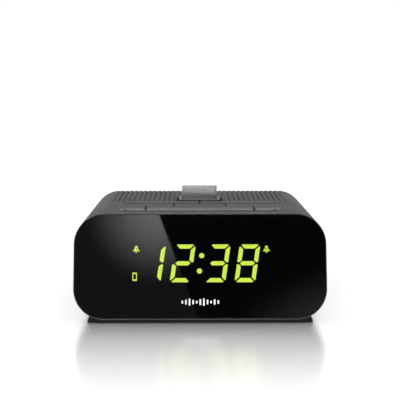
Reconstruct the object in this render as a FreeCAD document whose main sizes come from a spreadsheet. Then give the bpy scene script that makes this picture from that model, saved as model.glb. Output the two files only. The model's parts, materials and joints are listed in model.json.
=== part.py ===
import FreeCAD, Part

import math
import os

import Sketcher
from FreeCAD import Vector

# Table clock radio with a docking plug on its top.
# Millimetres, +X to the right of the display, +Y to the back, +Z up.
# The origin is on the table, under the middle of the whole object's box.
#
# These frames are used to place things:
#   LEVEL    the object's own frame
#   FACE     X to the right, Y up along the leaning front face, Z out of that face;
#            its origin is the middle of the face's bottom edge
#   UPRIGHT  X to the right, Y up, Z to the front, for sections seen from the front
# REAR, UNDER and FACE_BACK have Z pointing to the back, down and in from the face, for
# screws and sockets put in from those sides; SIDEWAYS has Z pointing to the right.

doc = FreeCAD.newDocument("clock_radio")
sheet = doc.addObject("Spreadsheet::Sheet", "Dims")

DIMS = {
    # case
    "case_wide": 134.6,
    "case_tall": 56.7,
    "case_deep": 111.4,
    "face_foot": 2.1,
    "face_lean": 14.1,
    "corner_round": 16.4,
    "side_taper": 1.1,
    "wall": 2.2,
    "seam": 0.45,
    "rear_round": 1.6,
    # front
    "bezel_deep": 8.8,
    "bezel_rim": 0.35,
    "bezel_frame": 4.5,
    "lens_thick": 2.0,
    "mask_thick": 0.5,
    "digit_tall": 20.2,
    "digit_wide": 11.1,
    "digit_pitch": 15.95,
    "hour_gap": 18.65,
    "digit_slant": 8.5,
    "bar_wide": 2.25,
    "bar_gap": 0.6,
    "bar_nose": 0.8,
    "digit_rise": 1.7,
    # ribs on the top
    "rib_reach": 50.0,
    "rib_count": 35,
    "rib_wide": 1.5,
    "rib_deep": 0.45,
    "rib_start": 44.5,
    # keys, measured back from the top's front edge
    "keys_wide": 87.6,
    "front_row": 11.0,
    "front_row_deep": 9.5,
    "middle_row": 23.5,
    "middle_row_deep": 8.0,
    "back_row": 34.5,
    "back_row_deep": 8.0,
    "front_rise": 1.1,
    "row_rise": 0.8,
    "key_gap": 0.25,
    "key_travel": 0.8,
    "board_level": 44.0,
    "board_thick": 1.6,
    # dock
    "dock_back": 54.6,
    "dock_wide": 24.4,
    "dock_deep": 18.0,
    "dock_rise": 1.2,
    "dock_gap": 1.2,
    "plug_wide": 20.6,
    "plug_deep": 2.8,
    "plug_tall": 7.1,
    "pivot_radius": 1.2,
    "pivot_drop": 4.5,
    "running_gap": 0.05,
    # speakers
    "speaker_apart": 32.0,
    "speaker_back": 72.0,
    "speaker_radius": 18.0,
    # base
    "plinth_half": 60.0,
    "plinth_corner": 3.0,
    "plinth_flare": 20.0,
    "plinth_inset": 0.7,
    "plinth_back": 5.0,
    "foot_show": 0.4,
    "foot_radius": 5.0,
    "cell_radius": 10.0,
    "cell_thick": 3.2,
    "cell_behind": 20.0,
    "door_half": 15.0,
    "door_travel": 22.0,
    # main board
    "main_level": 11.5,
    # rear sockets
    "inlet_at": 40.0,
    "aux_at": 24.0,
    "gland_at": -40.0,
    "socket_level": 19.0,
    "aux_radius": 1.8,
    "inlet_radius": 3.1,
    "inlet_pin": 1.05,
}

for row, (alias, size) in enumerate(DIMS.items(), start=1):
    sheet.set(f"A{row}", alias)
    sheet.set(f"B{row}", str(size))
    sheet.setAlias(f"B{row}", alias)
doc.recompute()

FACE_LONG = "((Dims.case_tall - Dims.face_foot) / cos(Dims.face_lean))"
FACE_SET = "((Dims.case_tall - Dims.face_foot) * tan(Dims.face_lean))"
BACK = "(Dims.case_deep / 2)"
TOP_FRONT = f"({FACE_SET} - {BACK})"
CEILING = "(Dims.case_tall - Dims.wall)"
FLOOR = "(Dims.face_foot + Dims.wall)"

LEVEL = "placement(vector(0; 0; 0); rotation(vector(1; 0; 0); 0))"
FACE = (
    f"placement(vector(0; -{BACK}; Dims.face_foot);"
    " rotation(vector(1; 0; 0); 90 - Dims.face_lean))"
)
UPRIGHT = "placement(vector(0; 0; 0); rotation(vector(1; 0; 0); 90))"
SIDEWAYS = "placement(vector(0; 0; 0); rotation(vector(0; 1; 0); 90))"
REAR = "placement(vector(0; 0; 0); rotation(vector(1; 0; 0); -90))"
UNDER = "placement(vector(0; 0; 0); rotation(vector(1; 0; 0); 180))"
FACE_BACK = f"{FACE} * {UNDER}"

nodes = []


def number(formula):
    """The value that the sheet gives to a formula."""
    return float(sheet.evalExpression(str(formula)))


def at(thing, x=0, y=0, z=0, frame=LEVEL):
    """Bind where a thing's own origin lies, in one of the frames."""
    spot = f"placement(vector({x}; {y}; {z}); rotation(vector(0; 0; 1); 0))"
    thing.setExpression("Placement", f"{frame} * {spot}")
    return thing


def bind(thing, **sizes):
    """Bind sizes, which are formulas on the sheet."""
    for size, formula in sizes.items():
        thing.setExpression(size, str(formula))
    return thing


def node(thing, label):
    """Mark a finished sub-part, which is written under its label."""
    thing.Label = label
    nodes.append(thing)
    return thing


def box(name, wide, deep, tall, x=0, y=0, z=0, frame=LEVEL):
    """A block centred on x and y that stands on z."""
    block = doc.addObject("Part::Box", name)
    bind(block, Length=wide, Width=deep, Height=tall)
    return at(block, f"({x}) - ({wide}) / 2", f"({y}) - ({deep}) / 2", z, frame)


def rod(name, radius, long, x=0, y=0, z=0, frame=LEVEL):
    """A round bar whose base is centred on x, y and z."""
    bar = doc.addObject("Part::Cylinder", name)
    bind(bar, Radius=radius, Height=long)
    return at(bar, x, y, z, frame)


def cone(name, low, high, long, x=0, y=0, z=0, frame=LEVEL):
    """A cone whose base is centred on x, y and z."""
    taper = doc.addObject("Part::Cone", name)
    bind(taper, Radius1=low, Radius2=high, Height=long)
    return at(taper, x, y, z, frame)


def fuse(name, *shapes):
    whole = doc.addObject("Part::MultiFuse", name)
    whole.Shapes = list(shapes)
    return whole


def cut(name, base, *tools):
    result = doc.addObject("Part::Cut", name)
    result.Base = base
    result.Tool = tools[0] if len(tools) == 1 else fuse(f"{name}_tools", *tools)
    return result


def common(name, first, second):
    result = doc.addObject("Part::MultiCommon", name)
    result.Shapes = [first, second]
    return result


def group(name, *shapes):
    """Separate solids that share one node."""
    bunch = doc.addObject("Part::Compound", name)
    bunch.Links = list(shapes)
    return bunch


def draw_rounded(sketch, wide, tall, radius):
    """A rounded rectangle about the sketch's origin, bound to three formulas."""
    half_wide = number(wide) / 2
    half_tall = number(tall) / 2
    bend = number(radius)
    ins_x = half_wide - bend
    ins_y = half_tall - bend
    corners = [(ins_x, -ins_y, 3), (ins_x, ins_y, 0), (-ins_x, ins_y, 1), (-ins_x, -ins_y, 2)]
    sides = [
        ((-ins_x, -half_tall), (ins_x, -half_tall)),
        ((half_wide, -ins_y), (half_wide, ins_y)),
        ((ins_x, half_tall), (-ins_x, half_tall)),
        ((-half_wide, ins_y), (-half_wide, -ins_y)),
    ]
    quarter = math.pi / 2
    for side, (x, y, turn) in zip(sides, corners):
        start, end = side
        sketch.addGeometry(Part.LineSegment(Vector(*start, 0), Vector(*end, 0)))
        circle = Part.Circle(Vector(x, y, 0), Vector(0, 0, 1), bend)
        sketch.addGeometry(Part.ArcOfCircle(circle, turn * quarter, (turn + 1) * quarter))
    rule = Sketcher.Constraint
    for piece in range(8):
        sketch.addConstraint(rule("Tangent", piece, 2, (piece + 1) % 8, 1))
    for line in (0, 4):
        sketch.addConstraint(rule("Horizontal", line))
        sketch.addConstraint(rule("Vertical", line + 2))
    for arc in (3, 5, 7):
        sketch.addConstraint(rule("Equal", 1, arc))
    sketch.addConstraint(rule("Symmetric", 1, 3, 5, 3, -1, 1))
    named = {
        "wide": rule("DistanceX", 6, 1, 2, 1, 2 * half_wide),
        "tall": rule("DistanceY", 0, 1, 4, 1, 2 * half_tall),
        "bend": rule("Radius", 1, bend),
    }
    for (name, constraint), formula in zip(named.items(), (wide, tall, radius)):
        index = sketch.addConstraint(constraint)
        sketch.renameConstraint(index, name)
        sketch.setExpression(f"Constraints.{name}", str(formula))
    return sketch


def origin_plane(body, role):
    return next(f for f in body.Origin.OriginFeatures if f.Role == role)


def plate(name, wide, deep, thick, radius, x=0, y=0, z=0, frame=LEVEL, taper=None, soften=None):
    """A padded rounded rectangle, centred on x and y, that stands on z."""
    body = doc.addObject("PartDesign::Body", name)
    sketch = body.newObject("Sketcher::SketchObject", f"{name}_outline")
    sketch.AttachmentSupport = [(origin_plane(body, "XY_Plane"), "")]
    sketch.MapMode = "FlatFace"
    draw_rounded(sketch, wide, deep, radius)
    pad = body.newObject("PartDesign::Pad", f"{name}_pad")
    pad.Profile = sketch
    bind(pad, Length=thick)
    if taper:
        bind(pad, TaperAngle=taper)
    body.Tip = pad
    if soften:
        doc.recompute()
        top = number(thick)
        edges = [
            f"Edge{i}"
            for i, edge in enumerate(pad.Shape.Edges, start=1)
            if all(abs(v.Z - top) < 1e-6 for v in edge.Vertexes)
        ]
        fillet = body.newObject("PartDesign::Fillet", f"{name}_soft")
        fillet.Base = (pad, edges)
        bind(fillet, Radius=soften)
        body.Tip = fillet
    return at(body, x, y, z, frame)


def case_loft(name, inset):
    """The case's outer form, moved in by inset: a leaning front section to an upright back one."""
    front = doc.addObject("Sketcher::SketchObject", f"{name}_front")
    draw_rounded(
        front,
        f"Dims.case_wide - 2 * {inset}",
        f"{FACE_LONG} - 2 * {inset}",
        f"Dims.corner_round - {inset}",
    )
    at(front, 0, f"{FACE_LONG} / 2", 0, FACE)
    back = doc.addObject("Sketcher::SketchObject", f"{name}_back")
    draw_rounded(
        back,
        f"Dims.case_wide - 2 * Dims.side_taper - 2 * {inset}",
        f"Dims.case_tall - Dims.face_foot - 2 * {inset}",
        f"Dims.corner_round - {inset}",
    )
    at(back, 0, "(Dims.case_tall + Dims.face_foot) / 2", f"-{BACK}", UPRIGHT)
    loft = doc.addObject("Part::Loft", name)
    loft.Sections = [front, back]
    loft.Solid = True
    loft.Ruled = True
    return loft


def face_slab(name, start, end):
    """All space between two depths behind the face."""
    return box(
        name, "2 * Dims.case_wide", "4 * Dims.case_tall", f"({end}) - ({start})",
        0, 0, f"-({end})", FACE,
    )


# ---------------------------------------------------------------- case forms
envelope = case_loft("envelope", "0")
hollow = case_loft("hollow", "Dims.wall")
shell = cut("shell", envelope, hollow)

# ---------------------------------------------------------------- front bezel
BEZEL_BACK = "Dims.bezel_deep"
LENS_SEAT = "(Dims.lens_thick + 0.05)"
bezel_block = common("bezel_block", envelope, face_slab("bezel_slab", "0", BEZEL_BACK))
tongue_outer = case_loft("tongue_outer", "(Dims.wall + 0.25)")
tongue_inner = case_loft("tongue_inner", "(Dims.wall + 1.45)")
tongue_ring = cut("tongue_ring", tongue_outer, tongue_inner)
tongue = common(
    "tongue", tongue_ring, face_slab("tongue_slab", f"{BEZEL_BACK} - 1", f"{BEZEL_BACK} + 1.2")
)
lens_pocket = common(
    "lens_pocket", case_loft("pocket_form", "Dims.bezel_rim"),
    face_slab("pocket_slab", "0", LENS_SEAT),
)
bezel_window = plate(
    "bezel_window", "Dims.case_wide - 2 * Dims.bezel_frame", f"{FACE_LONG} - 2 * Dims.bezel_frame",
    "Dims.bezel_deep + 2", "Dims.corner_round - Dims.bezel_frame",
    0, f"{FACE_LONG} / 2", "-Dims.bezel_deep - 1", FACE,
)
EAR_SPOTS = [(side * 58.5, up) for side in (-1, 1) for up in (-14, 14)]
EAR_FRONT = 4.0
EAR_BACK = 7.9
ears = [
    box(f"bezel_ear_{i}", 9, 7, EAR_BACK - EAR_FRONT, x, f"{FACE_LONG} / 2 + {up}", -EAR_BACK, FACE)
    for i, (x, up) in enumerate(EAR_SPOTS)
]
ear_pilots = [
    rod(f"ear_pilot_{i}", 0.8, 3, x, f"{FACE_LONG} / 2 + {up}", -EAR_BACK - 0.1, FACE)
    for i, (x, up) in enumerate(EAR_SPOTS)
]
bezel_ring = cut("bezel_ring", fuse("bezel_blank", bezel_block, tongue), lens_pocket, bezel_window)
node(cut("bezel", fuse("bezel_eared", bezel_ring, *ears), *ear_pilots), "front_bezel")

lens_block = common(
    "lens_block", case_loft("lens_form", "(Dims.bezel_rim + 0.08)"),
    face_slab("lens_slab", "0", "Dims.lens_thick"),
)


def soften_edges(name, base, touches, radius):
    """Round those of a shape's edges whose ends all pass a test."""
    doc.recompute()
    rounded = doc.addObject("Part::Fillet", name)
    rounded.Base = base
    rounded.Edges = [
        (i, radius, radius)
        for i, edge in enumerate(base.Shape.Edges, start=1)
        if all(touches(vertex.Point) for vertex in edge.Vertexes)
    ]
    return rounded


lean = math.radians(number("Dims.face_lean"))
face_normal = Vector(0, -math.cos(lean), math.sin(lean))
face_origin = Vector(0, -number(BACK), number("Dims.face_foot"))
LENS_SOFT = 0.3
node(
    soften_edges(
        "lens", lens_block, lambda point: abs((point - face_origin).dot(face_normal)) < 1e-6,
        LENS_SOFT,
    ),
    "front_lens",
)

# ---------------------------------------------------------------- display
DISPLAY_MID = f"({FACE_LONG} / 2 + Dims.digit_rise)"
MASK_BACK = "(Dims.lens_thick + 0.1 + Dims.mask_thick)"
BELL_SPOTS = [(-34.2, 7.8), (35.5, 7.8)]
PLAYER_SPOT = (-35.0, -7.1)
mask = plate(
    "mask_sheet", "Dims.case_wide - 2 * Dims.bezel_frame - 0.6",
    f"{FACE_LONG} - 2 * Dims.bezel_frame - 0.6", "Dims.mask_thick",
    "Dims.corner_round - Dims.bezel_frame - 0.3", 0, f"{FACE_LONG} / 2", f"-{MASK_BACK}", FACE,
)
mask_windows = [
    plate(f"mask_window_{i}", wide, tall, 2, bend, x, f"{DISPLAY_MID} + {up}",
          f"-{MASK_BACK} - 1", FACE)
    for i, (wide, tall, bend, (x, up)) in enumerate([
        (66, 23, 1, (0, 0)),
        *[(4.4, 5.6, 0.6, spot) for spot in BELL_SPOTS],
        (3.8, 5.8, 0.6, PLAYER_SPOT),
    ])
]
node(cut("mask", mask, *mask_windows), "display_mask")

SEGMENT_SINK = 0.6
MODULE_FRONT = "(Dims.lens_thick + 0.8 + Dims.mask_thick)"


def face_prism(points, front, thick):
    """A flat outline on the face's frame, from depth front to front + thick."""
    loop = Part.makePolygon([Vector(x, y, -front - thick) for x, y in points + points[:1]])
    return Part.Face(loop).extrude(Vector(0, 0, thick))


def slanted(x, y):
    """Lean a display point to the right as the digits do."""
    return x + y * math.tan(math.radians(number("Dims.digit_slant"))), y


def segment(name, mid_x):
    """The outline of one bar of a seven-bar digit, about the digit's own middle."""
    half_wide = number("Dims.digit_wide") / 2
    half_tall = number("Dims.digit_tall") / 2
    bar = number("Dims.bar_wide")
    gap = number("Dims.bar_gap")
    nose = number("Dims.bar_nose")
    if name == "g":
        reach = half_wide - bar / 2 - 0.7 * gap
        near = reach - bar / 2
        points = [(-reach, 0), (-near, bar / 2), (near, bar / 2),
                  (reach, 0), (near, -bar / 2), (-near, -bar / 2)]
    elif name in "ad":
        outer = half_wide - gap
        points = [(nose - outer, 0), (outer - nose, 0), (outer - nose / 2, nose / 2),
                  (outer - bar, bar), (bar - outer, bar), (nose / 2 - outer, nose / 2)]
        rise = 1 if name == "a" else -1
        points = [(x, rise * (half_tall - y)) for x, y in points]
    else:
        side = 1 if name in "bc" else -1
        upper = 1 if name in "bf" else -1
        end = half_tall - gap
        points = [(half_wide, end - nose), (half_wide, gap), (half_wide - bar / 2, gap),
                  (half_wide - bar, bar / 2 + gap), (half_wide - bar, end - bar),
                  (half_wide - nose / 2, end - nose / 2)]
        points = [(side * x, upper * y) for x, y in points]
    return [slanted(mid_x + x, y) for x, y in points]


LIT_BARS = {"1": "bc", "2": "abged", "3": "abgcd", "8": "abcdefg"}
digit_middles = [
    number(f"{side} * (Dims.hour_gap / 2 + {step} * Dims.digit_pitch)")
    for side, step in ((-1, 1), (-1, 0), (1, 0), (1, 1))
]
segment_front = number(MODULE_FRONT)
bars = [
    face_prism(segment(bar, middle), segment_front, SEGMENT_SINK)
    for digit, middle in zip("1238", digit_middles)
    for bar in LIT_BARS[digit]
]
for height in (4.1, -4.1):
    x, y = slanted(0.2, height)
    dot = Part.Circle(Vector(x, y, -segment_front - SEGMENT_SINK), Vector(0, 0, 1), 1.4)
    bars.append(Part.Face(Part.Wire(dot.toShape())).extrude(Vector(0, 0, SEGMENT_SINK)))


def code_shape(label, shapes, x, y, frame):
    """A sub-part whose flat outlines are drawn by the code above."""
    piece = doc.addObject("Part::Feature", f"{label}_shape")
    piece.Shape = Part.makeCompound(shapes)
    at(piece, x, y, 0, frame)
    return node(piece, label)


code_shape("display_segments", bars, 0, DISPLAY_MID, FACE)


def sign_prism(points, x, y):
    """A small lit sign from its outline about x and y."""
    return face_prism([(x + dx, y + dy) for dx, dy in points], segment_front, SEGMENT_SINK)


def upright_block(wide, tall):
    return [(-wide / 2, -tall / 2), (wide / 2, -tall / 2), (wide / 2, tall / 2),
            (-wide / 2, tall / 2)]


def bell(x, y, strokes):
    """An alarm bell with a flared rim and a clapper, with dark strokes that count the alarm."""
    dome = 0.75
    steps = 12
    points = [
        (dome * math.cos(math.pi * step / steps), 0.9 + dome * math.sin(math.pi * step / steps))
        for step in range(steps + 1)
    ]
    points += [(-1.1, -0.3), (-2.0, -1.35), (2.0, -1.35), (1.1, -0.3)]
    body = sign_prism(points, x, y)
    for stroke in range(strokes):
        across = x + 0.72 * (stroke - (strokes - 1) / 2)
        body = body.cut(sign_prism(upright_block(0.36, 1.3), across, y + 0.1))
    clapper = Part.makeCylinder(
        0.4, SEGMENT_SINK, Vector(x, y - 1.85, -segment_front - SEGMENT_SINK)
    )
    return [body, clapper]


def player(x, y):
    """The sign of a docked player: an upright frame with a dark screen."""
    return sign_prism(upright_block(2.4, 4.4), x, y).cut(sign_prism(upright_block(1.5, 2.8), x, y))


icons = [player(*PLAYER_SPOT)]
for alarm, spot in enumerate(BELL_SPOTS, start=1):
    icons += bell(*spot, alarm)
code_shape("display_icons", icons, 0, DISPLAY_MID, FACE)

module_block = box(
    "module_block", "80", "26", "4.6", 0, DISPLAY_MID, f"-{MODULE_FRONT} - 4.6", FACE
)
node(cut("module", module_block, nodes[-2], nodes[-1]), "display_module")
BOARD_FRONT = f"({MODULE_FRONT} + 4.65)"
display_pcb = plate(
    "display_pcb", 122, 40, "Dims.board_thick", 8, 0, f"{FACE_LONG} / 2",
    f"-{BOARD_FRONT} - Dims.board_thick", FACE,
)
display_pcb_holes = [
    rod(f"display_pcb_hole_{i}", 1.0, 6, x, f"{FACE_LONG} / 2 + {up}", f"-{BOARD_FRONT} - 3", FACE)
    for i, (x, up) in enumerate(EAR_SPOTS)
]
node(cut("display_board_cut", display_pcb, *display_pcb_holes), "display_board")

MARK_BARS = (1.6, 2.6, 3.6, 2.2, 1.4, 3.0, 3.8, 2.4, 1.4, 2.8, 1.8)
marks = []
for place, tall in enumerate(MARK_BARS):
    x = (place - (len(MARK_BARS) - 1) / 2) * 1.9
    marks.append(face_prism([(x - 0.45, -tall / 2), (x + 0.45, -tall / 2),
                             (x + 0.45, tall / 2), (x - 0.45, tall / 2)], -0.1, 0.1))
code_shape("front_mark", marks, 0, f"{FACE_LONG} / 2 - 18.9", FACE)

# ---------------------------------------------------------------- main housing
ROW_SLACK = "Dims.key_gap"
ROWS = {
    "front": ("Dims.front_row", "Dims.front_row_deep"),
    "middle": ("Dims.middle_row", "Dims.middle_row_deep"),
    "back": ("Dims.back_row", "Dims.back_row_deep"),
}


def row_middle(row):
    start, deep = ROWS[row]
    return f"({TOP_FRONT} + {start} + {deep} / 2)"


row_slots = [
    plate(f"{row}_slot", f"Dims.keys_wide + 2 * {ROW_SLACK}", f"{deep} + 2 * {ROW_SLACK}",
          "Dims.wall + 2", "1", 0, row_middle(row), f"{CEILING} - 1")
    for row, (start, deep) in ROWS.items()
]

DOCK_Y = f"({TOP_FRONT} + Dims.dock_back)"
dock_hole = plate(
    "dock_hole", "Dims.dock_wide + 2 * Dims.dock_gap", "Dims.dock_deep + 2 * Dims.dock_gap",
    "Dims.wall + 2", "2",
    0, DOCK_Y, f"{CEILING} - 1",
)

# A comb whose teeth press the ribs' valleys into the top.
RIB_PITCH = "(2 * Dims.rib_reach / (Dims.rib_count - 1))"
COMB_CLEAR = 0.5
comb = doc.addObject("PartDesign::Body", "rib_comb")
comb_back = comb.newObject("Sketcher::SketchObject", "rib_comb_back")
comb_back.AttachmentSupport = [(origin_plane(comb, "XY_Plane"), "")]
comb_back.MapMode = "FlatFace"
draw_rounded(comb_back, "2 * Dims.rib_reach + 6", "70", "1")
comb_pad = comb.newObject("PartDesign::Pad", "rib_comb_pad")
comb_pad.Profile = comb_back
bind(comb_pad, Length=2)
tooth = comb.newObject("Sketcher::SketchObject", "rib_tooth")
tooth.AttachmentSupport = [(origin_plane(comb, "XZ_Plane"), "")]
tooth.MapMode = "FlatFace"
first = -number("Dims.rib_reach")
half = number("Dims.rib_wide") / 2
tip = number("Dims.rib_deep") + COMB_CLEAR
corners = [(first - half, 0.3), (first - half, -COMB_CLEAR), (first - 0.45 * half, -tip),
           (first + 0.45 * half, -tip), (first + half, -COMB_CLEAR), (first + half, 0.3)]
for i, corner in enumerate(corners):
    following = corners[(i + 1) % len(corners)]
    tooth.addGeometry(Part.LineSegment(Vector(*corner, 0), Vector(*following, 0)))
for i in range(len(corners)):
    tooth.addConstraint(Sketcher.Constraint("Coincident", i, 2, (i + 1) % len(corners), 1))
tooth_pad = comb.newObject("PartDesign::Pad", "rib_tooth_pad")
tooth_pad.Profile = tooth
tooth_pad.Midplane = True
bind(tooth_pad, Length=70)
teeth = comb.newObject("PartDesign::LinearPattern", "rib_teeth")
teeth.Originals = [tooth_pad]
teeth.Direction = (tooth, ["H_Axis"])
bind(teeth, Length="2 * Dims.rib_reach", Occurrences="Dims.rib_count")
comb.Tip = teeth
at(comb, 0, f"{TOP_FRONT} + Dims.rib_start + 35", f"Dims.case_tall + {COMB_CLEAR}")

SPEAKER_Y = f"({TOP_FRONT} + Dims.speaker_back)"
SLOT_REACH = 5
SLOT_VALLEY = 11
sound_slots = [
    box(f"sound_slot_{'left' if side < 0 else 'right'}_{step + SLOT_REACH}", 0.7, 41,
        "Dims.wall + 2", f"({side} * {SLOT_VALLEY} + {step}) * {RIB_PITCH}", SPEAKER_Y,
        f"{CEILING} - 1")
    for side in (-1, 1) for step in range(-SLOT_REACH, SLOT_REACH + 1)
]

CELL_Y = "Dims.cell_behind"
cell_well = rod("cell_well", "Dims.cell_radius + 0.6", "2 * Dims.wall + 2", 0, CELL_Y, 0.5)

BOSS_X = "(Dims.case_wide / 2 - Dims.side_taper - Dims.wall - 4.5)"
BOSS_Z = (20, 39)
REAR_FACE = f"({BACK} - 0.6)"
COVER_THICK = 2.0
BOSS_BACK = f"({REAR_FACE} - {COVER_THICK} - 0.05)"
case_bosses = []
boss_holes = []
for side in (-1, 1):
    for level in BOSS_Z:
        spot = f"{side} * {BOSS_X}"
        name = f"{'left' if side < 0 else 'right'}_{level}"
        case_bosses.append(rod(f"boss_{name}", 4.8, 9, spot, level, f"-{BOSS_BACK}", UPRIGHT))
        boss_holes.append(rod(f"pilot_{name}", 1.3, 7, spot, level, f"-{BOSS_BACK} - 0.01", UPRIGHT))

MAIN_POSTS = [(-44, -22), (44, -22), (-44, 34), (44, 34)]
floor_posts = [
    rod(f"floor_post_{i}", 3, f"Dims.main_level - {FLOOR} + 1", x, y, f"{FLOOR} - 1")
    for i, (x, y) in enumerate(MAIN_POSTS)
]
post_pilots = [
    rod(f"post_pilot_{i}", 1.2, 6, x, y, "Dims.main_level - 5.9")
    for i, (x, y) in enumerate(MAIN_POSTS)
]
KEY_BOARD_TOP = "(Dims.board_level + Dims.board_thick)"
KEY_POSTS = [(side * 49.5, y) for side in (-1, 1) for y in (-28, -3)]
key_posts = [
    rod(f"key_post_{i}", 2.6, f"{CEILING} - {KEY_BOARD_TOP} + 1", x, y, KEY_BOARD_TOP)
    for i, (x, y) in enumerate(KEY_POSTS)
]
key_pilots = [
    rod(f"key_pilot_{i}", 1.0, 6, x, y, f"{KEY_BOARD_TOP} - 0.1")
    for i, (x, y) in enumerate(KEY_POSTS)
]
BASE_HOLES = [(side * 51, y) for side in (-1, 1) for y in (-24, 24)]
base_bosses = [
    rod(f"base_boss_{i}", 3, 5, x, y, f"{FLOOR} - 1") for i, (x, y) in enumerate(BASE_HOLES)
]
base_pilots = [
    rod(f"base_pilot_{i}", 1.3, 6, x, y, "Dims.face_foot - 0.1")
    for i, (x, y) in enumerate(BASE_HOLES)
]

back_y = number(BACK)
soft_envelope = soften_edges(
    "soft_envelope", envelope, lambda point: abs(point.y - back_y) < 1e-6, number("Dims.rear_round")
)
sleeve_block = cut("sleeve_block", soft_envelope, hollow)
sleeve = common(
    "sleeve", sleeve_block, face_slab("sleeve_slab", f"{BEZEL_BACK} + Dims.seam", "160")
)
DOCK_POSTS = [(-20, 6), (20, 6)]
DOCK_POST_FOOT = f"({CEILING} - 1.5)"
dock_posts = [
    rod(f"dock_post_{i}", 2.6, 2.4, x, y, DOCK_POST_FOOT) for i, (x, y) in enumerate(DOCK_POSTS)
]
dock_pilots = [
    rod(f"dock_pilot_{i}", 0.9, 2.5, x, y, f"{DOCK_POST_FOOT} - 0.1")
    for i, (x, y) in enumerate(DOCK_POSTS)
]
case_body = fuse(
    "case_body", sleeve, *case_bosses, *floor_posts, *key_posts, *base_bosses, *dock_posts
)
openings = [*row_slots, dock_hole, comb, *sound_slots, cell_well]
pilots = [*boss_holes, *post_pilots, *key_pilots, *base_pilots, *dock_pilots]
node(cut("housing", case_body, *openings, *pilots), "main_housing")

# ---------------------------------------------------------------- rear cover
INLET_X = "Dims.inlet_at"
AUX_X = "Dims.aux_at"
GLAND_X = "Dims.gland_at"
SOCKET_Z = "Dims.socket_level"
COVER_SLACK = "(Dims.wall + 0.15)"
cover_plate = plate(
    "cover_plate", f"Dims.case_wide - 2 * Dims.side_taper - 2 * {COVER_SLACK}",
    f"Dims.case_tall - Dims.face_foot - 2 * {COVER_SLACK}", COVER_THICK,
    f"Dims.corner_round - {COVER_SLACK}",
    0, "(Dims.case_tall + Dims.face_foot) / 2", f"-{REAR_FACE}", UPRIGHT,
)
through = f"-{REAR_FACE} - 1"
cover_holes = [
    rod("inlet_hole", 4.7, 6, INLET_X, SOCKET_Z, through, UPRIGHT),
    rod("aux_hole", 3.2, 6, AUX_X, SOCKET_Z, through, UPRIGHT),
    rod("gland_hole", 3.0, 6, GLAND_X, SOCKET_Z, through, UPRIGHT),
]
for side in (-1, 1):
    for level in BOSS_Z:
        name = f"{'left' if side < 0 else 'right'}_{level}"
        spot = f"{side} * {BOSS_X}"
        cover_holes.append(rod(f"cover_screw_hole_{name}", 1.6, 6, spot, level, through, UPRIGHT))
        cover_holes.append(rod(f"cover_sink_{name}", 3.1, 2.1, spot, level, through, UPRIGHT))
VENT_LINES = 7
for line in range(VENT_LINES):
    cover_holes.append(
        plate(f"vent_{line}", 44, 1.4, 5, 0.6, 0, 31 + 2.8 * line, through, UPRIGHT)
    )
node(cut("cover", cover_plate, *cover_holes), "rear_cover")


# ---------------------------------------------------------------- fasteners
def screw(name, shank, long, head, head_tall, x, y, z, frame=LEVEL):
    """A pan-head screw: its head stands on z and its shank goes the other way."""
    pan = cone(f"{name}_head", head, f"0.75 * {head}", head_tall, x, y, z, frame)
    core = rod(f"{name}_shank", shank, f"{long} + 0.2", x, y, f"({z}) - {long}", frame)
    slots = [
        box(f"{name}_slot_a", f"1.1 * {head}", 0.5, 0.7, x, y, f"({z}) + {head_tall} - 0.6", frame),
        box(f"{name}_slot_b", 0.5, f"1.1 * {head}", 0.7, x, y, f"({z}) + {head_tall} - 0.6", frame),
    ]
    return cut(name, fuse(f"{name}_blank", pan, core), *slots)


def screw_set(label, spots, shank, long, head, head_tall, z, frame=LEVEL):
    """Identical screws at several spots of one frame, in one node."""
    screws = [
        screw(f"{label}_{i}", shank, long, head, head_tall, x, y, z, frame)
        for i, (x, y) in enumerate(spots)
    ]
    return node(group(f"{label}_group", *screws), label)


rear_spots = [(f"{side} * {BOSS_X}", -level) for side in (-1, 1) for level in BOSS_Z]
screw_set("rear_screws", rear_spots, 1.25, 7.4, 2.8, 1.0, f"{REAR_FACE} - 1.1", REAR)
base_spots = [(x, -y) for x, y in BASE_HOLES]
screw_set("base_screws", base_spots, 1.25, 6, 2.8, 0.9, "-(Dims.foot_show + 1)", UNDER)
screw_set("main_board_screws", MAIN_POSTS, 1.15, 6, 2.4, 1.2,
          "Dims.main_level + Dims.board_thick")
screw_set("key_board_screws", [(x, -y) for x, y in KEY_POSTS], 0.95, 6, 2.2, 1.2,
          "-Dims.board_level", UNDER)
FLANGE_THICK = 1.5
screw_set("dock_screws", [(x, -y) for x, y in DOCK_POSTS], 0.85, 3.4, 2.0, 1.0,
          f"-({DOCK_POST_FOOT} - {FLANGE_THICK})", UNDER)
ear_spots = [(x, f"-({FACE_LONG} / 2 + {up})") for x, up in EAR_SPOTS]
screw_set("display_screws", ear_spots, 0.75, 4, 1.8, 1.0,
          f"{BOARD_FRONT} + Dims.board_thick", FACE_BACK)

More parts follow.
